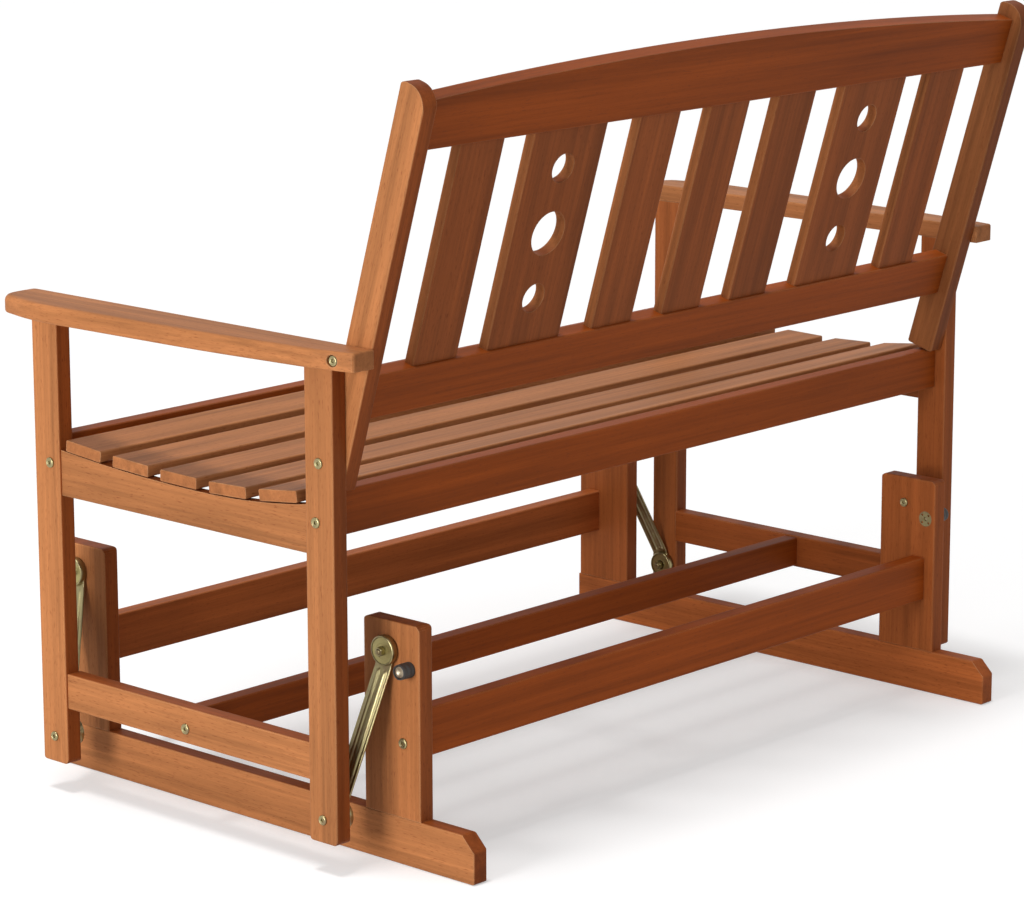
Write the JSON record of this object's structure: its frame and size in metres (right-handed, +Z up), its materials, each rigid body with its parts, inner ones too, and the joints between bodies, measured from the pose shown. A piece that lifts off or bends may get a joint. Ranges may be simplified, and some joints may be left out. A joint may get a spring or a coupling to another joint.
{
  "type": "outdoor glider",
  "caption": "Wooden garden glider bench: a slatted seat with armrests and a raked back hangs from a sled base by steel swing links and glides to and fro.",
  "frame": {"origin": "on the floor, at the middle of the box round the whole glider, under the middle of the sled base", "axes": "+Z up, the front of the seat faces -Y, +X towards the sitter's left"},
  "size_m": [1.2678, 0.717, 0.929],
  "materials": {
    "oiled_hardwood": "satin oiled",
    "zinc_plated_steel": "yellow zinc plated",
    "bearing_steel": "ground",
    "bumper_rubber": "moulded"
  },
  "bodies": {
    "base": {"left_sled_rail": "oiled_hardwood", "right_sled_rail": "oiled_hardwood", "left_front_upright": "oiled_hardwood", "right_front_upright": "oiled_hardwood", "left_rear_upright": "oiled_hardwood", "right_rear_upright": "oiled_hardwood", "base_front_rail": "oiled_hardwood", "base_rear_rail": "oiled_hardwood", "bumpers": "bumper_rubber", "bumper_screws": "zinc_plated_steel", "bumper_nuts": "zinc_plated_steel", "base_bolts": "zinc_plated_steel", "base_barrel_nuts": "zinc_plated_steel", "sled_screws": "zinc_plated_steel", "upper_pivot_bolts": "zinc_plated_steel", "upper_pivot_nuts": "zinc_plated_steel"},
    "rear_links": {"left_rear_link": "zinc_plated_steel", "right_rear_link": "zinc_plated_steel", "rear_bearings": "bearing_steel"},
    "front_links": {"left_front_link": "zinc_plated_steel", "right_front_link": "zinc_plated_steel", "front_bearings": "bearing_steel"},
    "seat": {"left_front_leg": "oiled_hardwood", "right_front_leg": "oiled_hardwood", "left_rear_leg": "oiled_hardwood", "right_rear_leg": "oiled_hardwood", "left_apron": "oiled_hardwood", "right_apron": "oiled_hardwood", "left_stretcher": "oiled_hardwood", "right_stretcher": "oiled_hardwood", "centre_stretcher": "oiled_hardwood", "front_seat_rail": "oiled_hardwood", "rear_seat_rail": "oiled_hardwood", "seat_slat_1": "oiled_hardwood", "seat_slat_2": "oiled_hardwood", "seat_slat_3": "oiled_hardwood", "seat_slat_4": "oiled_hardwood", "seat_slat_5": "oiled_hardwood", "left_bearer": "oiled_hardwood", "middle_bearer": "oiled_hardwood", "right_bearer": "oiled_hardwood", "left_post": "oiled_hardwood", "right_post": "oiled_hardwood", "crest_rail": "oiled_hardwood", "lower_back_rail": "oiled_hardwood", "back_slat_1": "oiled_hardwood", "back_slat_2": "oiled_hardwood", "back_slat_3": "oiled_hardwood", "back_slat_4": "oiled_hardwood", "back_slat_5": "oiled_hardwood", "back_slat_6": "oiled_hardwood", "back_slat_7": "oiled_hardwood", "left_armrest": "oiled_hardwood", "right_armrest": "oiled_hardwood", "seat_bolts": "zinc_plated_steel", "seat_barrel_nuts": "zinc_plated_steel", "slat_screws": "zinc_plated_steel", "lower_pivot_bolts": "zinc_plated_steel", "lower_pivot_nuts": "zinc_plated_steel"}
  },
  "joints": [
    {"name": "rear_swing", "type": "hinge", "parent": "base", "child": "rear_links", "pos_m": [0, 0.2233, 0.2554], "axis": [1, 0, 0], "range_deg": [-15, 15]},
    {"name": "seat_pivot", "type": "hinge", "parent": "rear_links", "child": "seat", "pos_m": [0, 0.201, 0.0652], "axis": [1, 0, 0], "range_deg": [-17.4, 17.4]},
    {"name": "front_swing", "type": "hinge", "parent": "base", "child": "front_links", "pos_m": [0, -0.3167, 0.2554], "axis": [1, 0, 0], "range_deg": [-15.6, 15.6]}
  ],
  "couplings": [
    {"joint": "seat_pivot", "follows": "rear_swing", "ratio": -1.1522},
    {"joint": "front_swing", "follows": "rear_swing", "ratio": 1.032}
  ]
}
